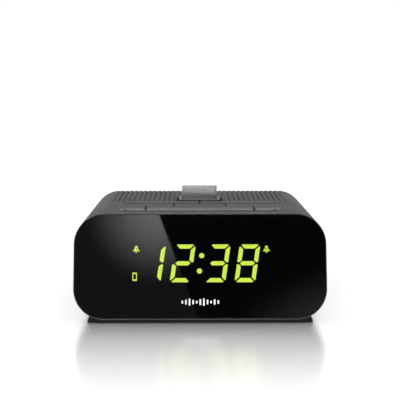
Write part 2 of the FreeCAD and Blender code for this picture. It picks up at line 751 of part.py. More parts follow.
# ---------------------------------------------------------------- base plate and feet
PLINTH_FRONT = f"(Dims.plinth_inset - {BACK})"
PLINTH_REAR = f"({BACK} - Dims.plinth_back)"
PLINTH_Y = f"(({PLINTH_FRONT} + {PLINTH_REAR}) / 2)"
FOOT_SPOTS = [(side * 44, y) for side in (-1, 1) for y in (-46, 42)]
plinth_block = plate(
    "plinth_block", "2 * Dims.plinth_half", f"{PLINTH_REAR} - {PLINTH_FRONT}", 4,
    "Dims.plinth_corner", 0, PLINTH_Y, "Dims.foot_show", taper="-Dims.plinth_flare",
)
DOOR_DEEP = "(2 * (Dims.cell_radius + 3.8))"
POCKET_DEEP = f"({DOOR_DEEP} + Dims.door_travel + 0.4)"
DOOR_LEVEL = "(Dims.foot_show + 0.65)"
base_cuts = [
    plate("door_window", "2 * Dims.cell_radius + 4", "2 * Dims.cell_radius + 4", 3, 1.5,
          0, CELL_Y, "Dims.foot_show - 1"),
    box("door_pocket", "2 * Dims.door_half + 0.4", POCKET_DEEP, 2,
        0, f"{CELL_Y} - Dims.door_travel / 2", "Dims.foot_show + 0.6"),
]
for i, (x, y) in enumerate(FOOT_SPOTS):
    base_cuts.append(rod(f"foot_seat_{i}", "Dims.foot_radius + 0.1", 1.6, x, y,
                         "Dims.foot_show - 1"))
for i, (x, y) in enumerate(BASE_HOLES):
    base_cuts.append(rod(f"base_hole_{i}", 1.5, 8, x, y, "Dims.foot_show - 1"))
    base_cuts.append(rod(f"base_sink_{i}", 3.1, 2, x, y, "Dims.foot_show - 1"))
node(cut("plinth", cut("plinth_top", plinth_block, envelope), *base_cuts), "base_plate")
node(
    group("feet", *[
        plate(f"foot_{i}", "2 * Dims.foot_radius", "2 * Dims.foot_radius",
              "Dims.foot_show + 0.6", "Dims.foot_radius - 0.01", x, y, 0)
        for i, (x, y) in enumerate(FOOT_SPOTS)
    ]),
    "rubber_feet",
)
door_blank = plate("door_blank", "2 * Dims.door_half", DOOR_DEEP, 1, 1.2, 0, CELL_Y, DOOR_LEVEL)
grips = [
    box(f"door_grip_{i}", 14, 1.2, 1.4, 0, f"{CELL_Y} + {3 * (i - 1)}", f"{DOOR_LEVEL} - 1")
    for i in range(3)
]
node(cut("door", door_blank, *grips), "battery_door")

# ---------------------------------------------------------------- backup cell
CELL_LEVEL = f"({DOOR_LEVEL} + 1.1)"
node(
    plate("cell", "2 * Dims.cell_radius", "2 * Dims.cell_radius", "Dims.cell_thick",
          "Dims.cell_radius - 0.01", 0, CELL_Y, CELL_LEVEL, soften="0.4"),
    "backup_cell",
)
holder_blank = rod("holder_blank", "Dims.cell_radius + 3", 5.4, 0, CELL_Y, FLOOR)
holder_well = rod("holder_well", "Dims.cell_radius + 0.6", 5.2, 0, CELL_Y, f"{FLOOR} - 1")
node(cut("holder", holder_blank, holder_well), "cell_holder")
SPRING_FOOT = f"({CELL_LEVEL} + Dims.cell_thick)"
spring_tall = f"({FLOOR} + 4.2 - {SPRING_FOOT})"
node(
    cut(
        "contact_cone",
        cone("contact_outer", 5, 2.4, spring_tall, 0, CELL_Y, SPRING_FOOT),
        cone("contact_inner", 4.5, 1.9, spring_tall, 0, CELL_Y, SPRING_FOOT),
    ),
    "cell_contact",
)

# ---------------------------------------------------------------- main board
BOARD_TOP = "(Dims.main_level + Dims.board_thick)"
main_blank = plate("main_blank", 100, 84, "Dims.board_thick", 2, 0, 8, "Dims.main_level")
main_holes = [
    rod(f"main_hole_{i}", 1.5, 6, x, y, "Dims.main_level - 2")
    for i, (x, y) in enumerate(MAIN_POSTS)
]
node(cut("main_pcb", main_blank, *main_holes), "main_board")
CHIPS = [(-18, -14, 14, 14, 1.6), (10, -16, 10, 7, 1.5), (26, -10, 8, 8, 4), (-2, 2, 12, 10, 6.5),
         (-26, 12, 9, 5, 1.8)]
CANS = [(-34, -16, 4, 11), (-34, -6, 3.2, 9), (34, 12, 4, 12), (16, 20, 3.2, 9), (-16, 26, 5, 14)]
board_parts = [
    box(f"chip_{i}", wide, deep, tall, x, y, BOARD_TOP)
    for i, (x, y, wide, deep, tall) in enumerate(CHIPS)
] + [rod(f"can_{i}", radius, tall, x, y, BOARD_TOP) for i, (x, y, radius, tall) in enumerate(CANS)]
node(group("board_parts", *board_parts), "board_components")

# ---------------------------------------------------------------- rear sockets
SOCKET_Y = f"({REAR_FACE} - {COVER_THICK} - 0.1)"


def socket_body(name, x, wide, deep, nose):
    """A socket's block on the main board, with a round nose through the rear cover."""
    tall = f"({SOCKET_Z} - {BOARD_TOP} + {wide} / 2)"
    block = box(f"{name}_block", wide, deep, tall, x, f"{SOCKET_Y} - {deep} / 2", BOARD_TOP)
    snout = rod(f"{name}_nose", nose, f"{REAR_FACE} - {SOCKET_Y} + 1", x, f"-{SOCKET_Z}",
                f"{SOCKET_Y} - 1", REAR)
    return fuse(f"{name}_blank", block, snout)


AUX_LONG = 14
INLET_LONG = 10
aux_bore = rod("aux_bore", "Dims.aux_radius", AUX_LONG + 1, AUX_X, f"-{SOCKET_Z}",
               f"{REAR_FACE} - {AUX_LONG}", REAR)
node(cut("aux", socket_body("aux_body", AUX_X, 8, 14.5, 3.0), aux_bore), "aux_socket")
inlet_bore = rod("inlet_bore", "Dims.inlet_radius", INLET_LONG + 1, INLET_X, f"-{SOCKET_Z}",
                 f"{REAR_FACE} - {INLET_LONG}", REAR)
node(cut("inlet", socket_body("inlet_body", INLET_X, 10, 14, 4.5), inlet_bore), "power_inlet")
node(
    rod("inlet_rod", "Dims.inlet_pin", INLET_LONG - 1, INLET_X, f"-{SOCKET_Z}",
        f"{REAR_FACE} - {INLET_LONG}", REAR),
    "inlet_pin",
)
gland_blank = fuse(
    "gland_blank",
    rod("gland_neck", 2.9, COVER_THICK + 1.5, GLAND_X, f"-{SOCKET_Z}",
        f"{REAR_FACE} - {COVER_THICK} - 1", REAR),
    rod("gland_lip", 4.0, 0.5, GLAND_X, f"-{SOCKET_Z}", REAR_FACE, REAR),
    rod("gland_keep", 4.0, 1.0, GLAND_X, f"-{SOCKET_Z}",
        f"{REAR_FACE} - {COVER_THICK} - 1.02", REAR),
)
gland_bore = rod("gland_bore", 0.9, 10, GLAND_X, f"-{SOCKET_Z}", f"{REAR_FACE} - 6", REAR)
node(cut("gland", gland_blank, gland_bore), "antenna_gland")

# ---------------------------------------------------------------- keys
KEY_FLANGE = 1.0
FLANGE_TOP = f"({CEILING} - 0.3)"
SWITCH_TOP = f"({KEY_BOARD_TOP} + 3.6)"
STEM_FOOT = f"({SWITCH_TOP} + Dims.key_travel + 1.4)"
KEYS = [
    ("alarm_one_key", "front", -43.8, -30.1, "Dims.front_rise"),
    ("snooze_bar", "front", -29.2, 29.2, "Dims.front_rise"),
    ("alarm_two_key", "front", 30.1, 43.8, "Dims.front_rise"),
    ("volume_down_key", "middle", -43.8, -15.0, "Dims.row_rise"),
    ("play_key", "middle", -14.2, 14.2, "Dims.row_rise"),
    ("volume_up_key", "middle", 15.0, 43.8, "Dims.row_rise"),
    ("sleep_key", "back", -43.8, -0.4, "Dims.row_rise"),
    ("radio_key", "back", 0.4, 43.8, "Dims.row_rise"),
]
for label, row, left, right, rise in KEYS:
    deep = ROWS[row][1]
    middle = (left + right) / 2
    y = row_middle(row)
    cap = plate(f"{label}_cap", right - left, deep, f"Dims.case_tall + {rise} - {FLANGE_TOP}",
                0.8, middle, y, FLANGE_TOP, soften="0.5")
    flange = box(f"{label}_flange", right - left, f"{deep} + 1.6", KEY_FLANGE, middle, y,
                 f"{FLANGE_TOP} - {KEY_FLANGE}")
    stem = rod(f"{label}_stem", 1.8, f"{FLANGE_TOP} - {STEM_FOOT}", middle, y, STEM_FOOT)
    node(fuse(f"{label}_whole", cap, flange, stem), label)

key_blank = plate("key_blank", 106, 36, "Dims.board_thick", 2, 0, -15.5, "Dims.board_level")
key_holes = [
    rod(f"key_hole_{i}", 1.2, 4, x, y, "Dims.board_level - 1")
    for i, (x, y) in enumerate(KEY_POSTS)
]
node(cut("key_pcb", key_blank, *key_holes), "key_board")
switches = []
domes = []
for label, row, left, right, rise in KEYS:
    middle = (left + right) / 2
    y = row_middle(row)
    block = box(f"{label}_switch", 6, 6, 3, middle, y, KEY_BOARD_TOP)
    button = rod(f"{label}_button", 1.7, 1.6, middle, y, f"{SWITCH_TOP} - 1.6")
    switches.append(fuse(f"{label}_tact", block, button))
    domes.append(rod(f"{label}_dome", 2.4, f"{STEM_FOOT} - {SWITCH_TOP}", middle, y, SWITCH_TOP))
node(group("switch_set", *switches), "tact_switches")
node(group("dome_set", *domes), "key_domes")

# ---------------------------------------------------------------- dock
DOCK_TOP = "(Dims.case_tall + Dims.dock_rise)"
PIVOT_Z = "(Dims.case_tall - Dims.pivot_drop)"
DOCK_FOOT = f"({PIVOT_Z} - 5.5)"
PLUG_FOOT = f"({DOCK_TOP} - 3.5)"
EAR_INNER = "(Dims.dock_wide / 2 + 1.1)"
EAR_THICK = 2
dock_blank = plate("dock_blank", "Dims.dock_wide", "Dims.dock_deep", f"{DOCK_TOP} - {DOCK_FOOT}",
                   2, 0, DOCK_Y, DOCK_FOOT, soften="0.6")
dock_bore = rod("dock_bore", "Dims.pivot_radius + Dims.running_gap", "Dims.dock_wide + 2",
                f"-{PIVOT_Z}", DOCK_Y, "-Dims.dock_wide / 2 - 1", SIDEWAYS)
plug_seat = plate("plug_seat", "Dims.plug_wide", "Dims.plug_deep", 5, 1, 0, DOCK_Y, PLUG_FOOT)
node(cut("dock", dock_blank, dock_bore, plug_seat), "dock_pedestal")
PLUG_WALL = 0.3
PLUG_LONG = "(Dims.plug_tall + 3.5)"
plug_outer = plate("plug_outer", "Dims.plug_wide", "Dims.plug_deep", PLUG_LONG, 1,
                   0, DOCK_Y, PLUG_FOOT)
plug_inner = plate("plug_inner", f"Dims.plug_wide - 2 * {PLUG_WALL}",
                   f"Dims.plug_deep - 2 * {PLUG_WALL}", f"{PLUG_LONG} + 2", 0.7,
                   0, DOCK_Y, f"{PLUG_FOOT} - 1")
node(cut("plug_ring", plug_outer, plug_inner), "plug_shell")
node(
    plate("plug_tongue", "Dims.plug_wide - 1", 1.0, f"{PLUG_LONG} - 0.4", 0.3,
          0, DOCK_Y, PLUG_FOOT),
    "plug_core",
)
CONTACTS = 15
contacts = [
    box(f"contact_{i}_{'front' if side < 0 else 'rear'}", 0.6, 0.15, "Dims.plug_tall - 1",
        1.27 * (i - (CONTACTS - 1) / 2), f"{DOCK_Y} + {side} * 0.575", f"{DOCK_TOP} + 0.2")
    for i in range(CONTACTS) for side in (-1, 1)
]
node(group("contact_set", *contacts), "plug_contacts")
node(
    rod("pivot_rod", "Dims.pivot_radius", f"2 * ({EAR_INNER} + {EAR_THICK})",
        f"-{PIVOT_Z}", DOCK_Y, f"-({EAR_INNER} + {EAR_THICK})", SIDEWAYS),
    "dock_pivot_pin",
)
CRADLE_FOOT = f"({DOCK_FOOT} - 6.5)"
cradle_parts = [
    box("cradle_bar", f"2 * ({EAR_INNER} + {EAR_THICK})", 16, 2, 0, DOCK_Y, CRADLE_FOOT)
]
for side in (-1, 1):
    name = "left" if side < 0 else "right"
    ear_x = f"{side} * ({EAR_INNER} + {EAR_THICK} / 2)"
    cradle_parts.append(box(f"cradle_ear_{name}", EAR_THICK, 14, f"{CEILING} - {CRADLE_FOOT} - 0.1",
                            ear_x, f"{DOCK_Y} - 2", CRADLE_FOOT))
    cradle_parts.append(box(f"cradle_wing_{name}", 11, 5.6, FLANGE_THICK, side * 18.6, 6,
                            f"{DOCK_POST_FOOT} - {FLANGE_THICK}"))
cradle_cuts = [
    rod("cradle_bore", "Dims.pivot_radius", 60, f"-{PIVOT_Z}", DOCK_Y, -30, SIDEWAYS),
    *[rod(f"wing_hole_{i}", 1.1, 6, x, y, f"{DOCK_POST_FOOT} - 4")
      for i, (x, y) in enumerate(DOCK_POSTS)],
]
node(cut("cradle", fuse("cradle_blank", *cradle_parts), *cradle_cuts), "dock_cradle")
spring_tubes = []
for i, shift in enumerate((-5.5, 5.5)):
    tube = rod(f"spring_outer_{i}", 1.8, f"{DOCK_FOOT} - {CRADLE_FOOT} - 2",
               0, f"{DOCK_Y} + {shift}", f"{CRADLE_FOOT} + 2")
    core = rod(f"spring_inner_{i}", 1.3, 20, 0, f"{DOCK_Y} + {shift}", CRADLE_FOOT)
    spring_tubes.append(cut(f"spring_{i}", tube, core))
node(group("spring_pair", *spring_tubes), "dock_springs")

# ---------------------------------------------------------------- speakers
GASKET_THICK = 0.75
RIM_TOP = f"({CEILING} - {GASKET_THICK})"
for side in (-1, 1):
    name = "left" if side < 0 else "right"
    x = f"{side} * Dims.speaker_apart"
    radius = "Dims.speaker_radius"
    gasket = cut(
        f"{name}_gasket_ring",
        rod(f"{name}_gasket_outer", radius, f"{GASKET_THICK} - 0.02", x, SPEAKER_Y, RIM_TOP),
        rod(f"{name}_gasket_inner", f"{radius} - 2.2", 3, x, SPEAKER_Y, f"{RIM_TOP} - 1"),
    )
    node(gasket, f"{name}_speaker_gasket")
    rim = rod(f"{name}_rim", radius, 1.5, x, SPEAKER_Y, f"{RIM_TOP} - 1.5")
    basket = cone(f"{name}_basket", 10, 16.4, 9, x, SPEAKER_Y, f"{RIM_TOP} - 10")
    hollows = [
        cone(f"{name}_basket_hollow", 9, 15.6, 9.1, x, SPEAKER_Y, f"{RIM_TOP} - 9"),
        rod(f"{name}_rim_hole", 15.6, 3, x, SPEAKER_Y, f"{RIM_TOP} - 1.1"),
        rod(f"{name}_coil_hole", 4.6, 4, x, SPEAKER_Y, f"{RIM_TOP} - 11"),
    ]
    node(cut(f"{name}_frame", fuse(f"{name}_frame_blank", rim, basket), *hollows),
         f"{name}_speaker_frame")
    node(rod(f"{name}_magnet_disc", 12, 7, x, SPEAKER_Y, f"{RIM_TOP} - 17"),
         f"{name}_speaker_magnet")
    paper = cut(
        f"{name}_paper",
        cone(f"{name}_paper_outer", 4.2, 14.2, 6, x, SPEAKER_Y, f"{RIM_TOP} - 6.6"),
        cone(f"{name}_paper_inner", 3.6, 13.8, 6.01, x, SPEAKER_Y, f"{RIM_TOP} - 6.2"),
    )
    former = rod(f"{name}_former", 4.2, 3, x, SPEAKER_Y, f"{RIM_TOP} - 9.6")
    surround = cut(
        f"{name}_surround",
        rod(f"{name}_surround_outer", 15.5, 0.5, x, SPEAKER_Y, f"{RIM_TOP} - 1.1"),
        rod(f"{name}_surround_inner", 13.4, 3, x, SPEAKER_Y, f"{RIM_TOP} - 2"),
    )
    node(fuse(f"{name}_moving", paper, former, surround), f"{name}_speaker_cone")


# ---------------------------------------------------------------- ribbons and leads
def ribbon(label, wide, path, x=0):
    """A flat cable of the given width, whose side view is the polyline path, 0.4 thick."""
    outer = [Vector(0, y, z) for y, z in path]
    wire = Part.makePolygon(outer + outer[:1])
    strip = Part.Face(wire).extrude(Vector(wide, 0, 0))
    piece = doc.addObject("Part::Feature", f"{label}_shape")
    piece.Shape = strip
    at(piece, x - wide / 2)
    return node(piece, label)


board_top = number(BOARD_TOP)
ribbon("display_ribbon", 18, [(-38.7, 20.0), (-36.0, 20.6), (-33.0, 18.0), (-32.6, board_top),
                              (-32.2, board_top), (-32.6, 18.3), (-35.9, 21.1), (-38.9, 20.5)])
key_under = number("Dims.board_level")
ribbon("key_ribbon", 14, [(0.6, key_under), (0.6, 30.0), (-1.6, 22.0), (-4.2, board_top),
                          (-4.6, board_top), (-2.0, 22.1), (0.2, 30.1), (0.2, key_under)], 24)
leads = [
    rod(f"lead_{'left' if side < 0 else 'right'}_{i}", 0.5, f"{RIM_TOP} - 1.5 - {BOARD_TOP}",
        f"{side} * (Dims.speaker_apart + Dims.speaker_radius - 1)", f"{SPEAKER_Y} + {2 * i - 1}",
        BOARD_TOP)
    for side in (-1, 1) for i in (0, 1)
]
node(group("lead_set", *leads), "speaker_leads")

# ---------------------------------------------------------------- check and write
doc.recompute()
for thing in doc.Objects:
    if "Invalid" in thing.State or "Error" in thing.State:
        raise RuntimeError(f"{thing.Name} did not compute")
labels = [thing.Label for thing in nodes]
if len(set(labels)) != len(labels):
    raise RuntimeError("two sub-parts share a label")
for thing in nodes:
    if thing.Shape.isNull() or not thing.Shape.isValid() or not thing.Shape.Solids:
        raise RuntimeError(f"{thing.Label} has no sound shape")
os.makedirs("parts", exist_ok=True)
for thing in nodes:
    thing.Shape.exportStep(f"parts/{thing.Label}.step")
print(f"{len(nodes)} sub-parts written")
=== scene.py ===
import json
import math

import bmesh
import bpy
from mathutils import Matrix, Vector


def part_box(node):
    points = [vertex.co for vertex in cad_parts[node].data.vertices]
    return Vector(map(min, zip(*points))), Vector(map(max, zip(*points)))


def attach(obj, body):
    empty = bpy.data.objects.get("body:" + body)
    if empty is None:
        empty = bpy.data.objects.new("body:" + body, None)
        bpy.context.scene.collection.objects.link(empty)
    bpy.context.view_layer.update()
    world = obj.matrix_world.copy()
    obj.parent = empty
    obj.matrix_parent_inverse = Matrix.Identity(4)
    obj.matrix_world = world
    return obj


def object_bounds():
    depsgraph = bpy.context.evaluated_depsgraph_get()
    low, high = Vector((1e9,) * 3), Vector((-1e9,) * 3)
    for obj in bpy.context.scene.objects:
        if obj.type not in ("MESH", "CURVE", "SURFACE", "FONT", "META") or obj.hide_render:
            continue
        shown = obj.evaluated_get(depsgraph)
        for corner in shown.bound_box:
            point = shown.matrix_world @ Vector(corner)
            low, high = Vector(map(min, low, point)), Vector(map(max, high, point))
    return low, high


# A docking clock radio on a white table. Lengths are in metres.
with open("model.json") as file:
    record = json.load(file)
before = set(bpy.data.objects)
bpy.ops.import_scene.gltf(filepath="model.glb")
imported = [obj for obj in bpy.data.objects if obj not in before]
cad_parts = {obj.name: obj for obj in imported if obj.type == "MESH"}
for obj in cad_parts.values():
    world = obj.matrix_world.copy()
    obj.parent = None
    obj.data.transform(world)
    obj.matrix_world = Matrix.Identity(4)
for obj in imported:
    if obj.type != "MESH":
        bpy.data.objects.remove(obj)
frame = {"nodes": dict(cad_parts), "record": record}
nodes = frame["nodes"]
cad_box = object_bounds()
MM = 0.001

scene = bpy.context.scene
scene.view_settings.view_transform = "Standard"

# ------------------------------------------------------------------ camera
low, high = cad_box
EYE = Vector((-0.0040, low.y - 0.4855, 0.1328))
EYE_PITCH = math.radians(7.85)
EYE_YAW = math.radians(-0.45)
EYE_LENS = 85.05
EYE_SENSOR = 36.0
NEAREST_SEEN = 0.02


def make_camera():
    data = bpy.data.cameras.new("eye")
    data.lens = EYE_LENS
    data.sensor_width = EYE_SENSOR
    data.clip_start = NEAREST_SEEN
    eye = bpy.data.objects.new("eye", data)
    eye.location = EYE
    eye.rotation_euler = (math.pi / 2 - EYE_PITCH, 0.0, EYE_YAW)
    scene.collection.objects.link(eye)
    scene.camera = eye


make_camera()


# ------------------------------------------------------------------ material helpers
WHITE = (1.0, 1.0, 1.0, 1.0)
BLACK = (0.0, 0.0, 0.0, 1.0)


def remap(tree, factor, low_at, low_value, high_at, high_value, smooth=False):
    """A node that maps factor from one range to another, straight or eased at both ends."""
    node = tree.nodes.new("ShaderNodeMapRange")
    node.interpolation_type = "SMOOTHSTEP" if smooth else "LINEAR"
    node.inputs["From Min"].default_value = low_at
    node.inputs["From Max"].default_value = high_at
    node.inputs["To Min"].default_value = low_value
    node.inputs["To Max"].default_value = high_value
    tree.links.new(factor, node.inputs["Value"])
    return node.outputs["Result"]


class Graph:
    """A material's node tree, with short ways to add and join nodes."""

    def __init__(self, name):
        self.material = bpy.data.materials.new(name)
        self.material.use_nodes = True
        self.tree = self.material.node_tree
        self.shader = self.tree.nodes["Principled BSDF"]
        self.place = self.tree.nodes.new("ShaderNodeTexCoord").outputs["Object"]

    def add(self, kind, **values):
        node = self.tree.nodes.new(kind)
        for key, value in values.items():
            if hasattr(node, key):
                setattr(node, key, value)
            else:
                node.inputs[key].default_value = value
        return node

    def join(self, output, socket):
        self.tree.links.new(output, socket)

    def noise(self, scale, detail=3.0, rough=0.55, stretch=None):
        """Noise over the object's own metres; scale is in cycles per metre."""
        node = self.add("ShaderNodeTexNoise", Scale=scale, Detail=detail, Roughness=rough)
        source = self.place
        if stretch:
            mapping = self.add("ShaderNodeMapping")
            mapping.inputs["Scale"].default_value = stretch
            self.join(self.place, mapping.inputs["Vector"])
            source = mapping.outputs["Vector"]
        self.join(source, node.inputs["Vector"])
        return node.outputs["Fac"]

    def ramp(self, factor, low_at, low_value, high_at, high_value, smooth=False):
        """A remap of factor between two places."""
        return remap(self.tree, factor, low_at, low_value, high_at, high_value, smooth)

    def sums(self, operation, first, second=None):
        """One step of arithmetic on outputs or numbers."""
        node = self.add("ShaderNodeMath", operation=operation)
        for socket, value in zip(node.inputs, (first, second)):
            if value is None:
                continue
            if isinstance(value, float):
                socket.default_value = value
            else:
                self.join(value, socket)
        return node.outputs[0]

    def blend(self, factor, first, second):
        """A colour between two colours."""
        node = self.add("ShaderNodeMix", data_type="RGBA")
        self.join(factor, node.inputs["Factor"])
        node.inputs[6].default_value = (*first, 1.0)
        node.inputs[7].default_value = (*second, 1.0)
        return node.outputs[2]

    def bump(self, height, depth, strength=1.0, under=None):
        """Bump of the given depth in metres."""
        node = self.add("ShaderNodeBump", Strength=strength, Distance=depth)
        self.join(height, node.inputs["Height"])
        if under is not None:
            self.join(under, node.inputs["Normal"])
        return node.outputs["Normal"]

    def rounded(self, radius):
        """A normal that softens sharp edges over radius."""
        node = self.add("ShaderNodeBevel", samples=6)
        node.inputs["Radius"].default_value = radius
        return node.outputs["Normal"]


# ------------------------------------------------------------------ materials
def moulded(name, colour, rough, grain_mm, grain_depth_mm, spread=0.12, metal=0.0,
            specular=0.5, edge_mm=0.25, streak=None):
    """Moulded plastic, rubber, print or metal: colour drift, rough patches and a fine grain."""
    g = Graph(name)
    drift = g.noise(60.0, 4.0, 0.6, streak)
    shade = g.ramp(drift, 0.3, 0.0, 0.7, 1.0)
    dark = tuple(c * (1 - spread) for c in colour)
    light = tuple(min(c * (1 + spread), 1.0) for c in colour)
    g.join(g.blend(shade, dark, light), g.shader.inputs["Base Color"])
    patches = g.noise(220.0, 5.0, 0.65, streak)
    g.join(g.ramp(patches, 0.25, rough * 0.85, 0.75, min(rough * 1.15, 1.0)),
           g.shader.inputs["Roughness"])
    grain = g.noise(1.0 / (grain_mm * MM), 2.0, 0.5, streak)
    soft = g.rounded(edge_mm * MM) if edge_mm else None
    g.join(g.bump(grain, grain_depth_mm * MM, 1.0, soft), g.shader.inputs["Normal"])
    g.shader.inputs["Metallic"].default_value = metal
    g.shader.inputs["Specular IOR Level"].default_value = specular
    return g.material


def make_lens():
    """Smoked lens: near-black gloss that lets a little of the lit bars through."""
    g = Graph("smoked_lens")
    g.shader.inputs["Base Color"].default_value = (0.0004, 0.0004, 0.0005, 1.0)
    smear = g.noise(35.0, 5.0, 0.6)
    g.join(g.ramp(smear, 0.3, 0.015, 0.75, 0.03), g.shader.inputs["Roughness"])
    ripple = g.noise(12.0, 1.0, 0.5)
    g.join(g.bump(ripple, 0.01 * MM, 0.1), g.shader.inputs["Normal"])
    g.shader.inputs["IOR"].default_value = 1.5
    g.shader.inputs["Alpha"].default_value = 0.72
    return g.material


def make_lit(strength):
    """Lit bars: yellow-green light, a little brighter where a lamp sits behind."""
    g = Graph("lit_display")
    glow = g.noise(240.0, 2.0, 0.4)
    tone = g.blend(g.ramp(glow, 0.3, 0.0, 0.7, 1.0), (0.66, 0.92, 0.085), (0.72, 0.98, 0.095))
    g.join(tone, g.shader.inputs["Base Color"])
    g.join(tone, g.shader.inputs["Emission Color"])
    g.shader.inputs["Emission Strength"].default_value = strength
    g.shader.inputs["Roughness"].default_value = 0.4
    return g.material


def make_board():
    """Green circuit board with faint copper tracks under its solder mask."""
    g = Graph("circuit_board")
    bricks = g.add("ShaderNodeTexBrick", Scale=160.0)
    bricks.inputs["Color1"].default_value = (0.010, 0.085, 0.030, 1.0)
    bricks.inputs["Color2"].default_value = (0.014, 0.110, 0.040, 1.0)
    bricks.inputs["Mortar"].default_value = (0.030, 0.170, 0.060, 1.0)
    g.join(g.place, bricks.inputs["Vector"])
    g.join(bricks.outputs["Color"], g.shader.inputs["Base Color"])
    patches = g.noise(300.0)
    g.join(g.ramp(patches, 0.3, 0.25, 0.7, 0.4), g.shader.inputs["Roughness"])
    g.join(g.bump(bricks.outputs["Fac"], 0.03 * MM), g.shader.inputs["Normal"])
    return g.material


materials = {
    "case_plastic": moulded("case_plastic", (0.046, 0.046, 0.048), 0.46, 0.30, 0.010,
                            specular=0.04),
    "bezel_plastic": moulded("bezel_plastic", (0.028, 0.028, 0.030), 0.38, 0.25, 0.006,
                             specular=0.05),
    "cover_plastic": moulded("cover_plastic", (0.003, 0.003, 0.0032), 0.55, 0.45, 0.016,
                             specular=0.12),
    "lens_gloss": make_lens(),
    "mask_print": moulded("mask_print", (0.004, 0.004, 0.004), 0.6, 0.2, 0.003),
    "module_plastic": moulded("module_plastic", (0.006, 0.006, 0.006), 0.55, 0.3, 0.006),
    "lit_display": make_lit(strength=11.0),
    "circuit_board": make_board(),
    "silver_print": moulded("silver_print", (0.36, 0.37, 0.38), 0.35, 0.12, 0.002, metal=0.4),
    "screw_steel": moulded("screw_steel", (0.42, 0.42, 0.43), 0.3, 0.15, 0.004, metal=1.0),
    "foot_rubber": moulded("foot_rubber", (0.014, 0.014, 0.014), 0.8, 0.3, 0.02),
    "cell_steel": moulded("cell_steel", (0.62, 0.62, 0.62), 0.25, 0.1, 0.003, metal=1.0,
                          streak=(1.0, 14.0, 1.0)),
    "plated_metal": moulded("plated_metal", (0.58, 0.58, 0.60), 0.3, 0.12, 0.0008, metal=1.0,
                            streak=(1.0, 1.0, 9.0), edge_mm=0.12),
    "chip_plastic": moulded("chip_plastic", (0.016, 0.016, 0.017), 0.55, 0.2, 0.006),
    "socket_plastic": moulded("socket_plastic", (0.010, 0.010, 0.010), 0.35, 0.3, 0.004),
    "dome_rubber": moulded("dome_rubber", (0.45, 0.45, 0.44), 0.6, 0.3, 0.01),
    "dock_plastic": moulded("dock_plastic", (0.013, 0.013, 0.014), 0.3, 0.3, 0.004,
                            specular=0.3),
    "plug_plastic": moulded("plug_plastic", (0.012, 0.012, 0.012), 0.4, 0.2, 0.004, edge_mm=0.1),
    "contact_gold": moulded("contact_gold", (0.83, 0.60, 0.25), 0.25, 0.1, 0.001, metal=1.0,
                            edge_mm=0.0),
    "ribbon_plastic": moulded("ribbon_plastic", (0.60, 0.60, 0.58), 0.4, 0.3, 0.004,
                              streak=(60.0, 1.0, 1.0)),
    "lead_plastic": moulded("lead_plastic", (0.35, 0.015, 0.012), 0.4, 0.3, 0.004),
    "gasket_foam": moulded("gasket_foam", (0.02, 0.02, 0.02), 0.95, 0.35, 0.05),
    "frame_metal": moulded("frame_metal", (0.03, 0.03, 0.032), 0.45, 0.3, 0.006, metal=0.3),
    "magnet_iron": moulded("magnet_iron", (0.09, 0.09, 0.095), 0.6, 0.4, 0.015, metal=0.2),
    "speaker_cloth": moulded("speaker_cloth", (0.050, 0.050, 0.053), 0.8, 0.12, 0.05,
                             spread=0.2, specular=0.2),
    "cone_paper": moulded("cone_paper", (0.018, 0.018, 0.018), 0.85, 0.4, 0.02),
    "key_plastic": moulded("key_plastic", (0.059, 0.059, 0.061), 0.42, 0.25, 0.004,
                           specular=0.02, edge_mm=0.2),
}


# ------------------------------------------------------------------ added pieces
def join_rings(mesh, near, far):
    """A band of four-sided faces between two closed rings of corners."""
    count = len(near)
    for i in range(count):
        after = (i + 1) % count
        mesh.faces.new((near[i], far[i], far[after], near[after]))


def added_piece(name, mesh, finish):
    """A closed bmesh as a new object with one material."""
    bmesh.ops.recalc_face_normals(mesh, faces=mesh.faces)
    data = bpy.data.meshes.new(name)
    mesh.to_mesh(data)
    mesh.free()
    piece = bpy.data.objects.new(name, data)
    scene.collection.objects.link(piece)
    data.materials.append(materials[finish])
    return piece


# ------------------------------------------------------------------ speaker cloth
# The sound slots follow the ribs' pitch: so many each side of one valley over each speaker.
RIB_REACH = 50.0 * MM
RIB_COUNT = 35
RIB_PITCH = 2 * RIB_REACH / (RIB_COUNT - 1)
SLOT_VALLEY = 11
SLOT_REACH = 5
SLOT_WIDE = 0.66 * MM
SLOT_LONG = 40.6 * MM
CLOTH_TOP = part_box("main_housing")[1].z - 0.65 * MM
CLOTH_FOOT = CLOTH_TOP - 0.35 * MM
THREADS = 58
THREAD_RISE = 0.04 * MM


def speaker_cloth(side):
    """Woven strips just under the ribs' valleys, one in each sound slot over a speaker."""
    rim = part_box(f"{side}_speaker_frame")
    start = (rim[0].y + rim[1].y) / 2 - SLOT_LONG / 2
    sign = -1 if side == "left" else 1
    mesh = bmesh.new()
    for step in range(-SLOT_REACH, SLOT_REACH + 1):
        x = (sign * SLOT_VALLEY + step) * RIB_PITCH
        rows = []
        for thread in range(THREADS + 1):
            y = start + SLOT_LONG * thread / THREADS
            crown = CLOTH_TOP + (THREAD_RISE if thread % 2 else 0.0)
            section = ((-1, CLOTH_TOP), (0, crown), (1, CLOTH_TOP),
                       (1, CLOTH_FOOT), (-1, CLOTH_FOOT))
            rows.append([
                mesh.verts.new((x + across * SLOT_WIDE / 2, y, level))
                for across, level in section
            ])
        for near, far in zip(rows, rows[1:]):
            join_rings(mesh, near, far)
        mesh.faces.new(rows[0])
        mesh.faces.new(rows[-1][::-1])
    cloth = added_piece(f"{side}_speaker_cloth", mesh, "speaker_cloth")
    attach(cloth, "cabinet")


for side in ("left", "right"):
    speaker_cloth(side)


# ------------------------------------------------------------------ key marks
MARK_WIDE = 1.1 * MM
MARK_TALL = 0.7 * MM
MARK_PROUD = 0.05 * MM
MARK_SINK = 0.2 * MM
MARK_IN = 3.0 * MM
MARK_DOWN = 0.75 * MM
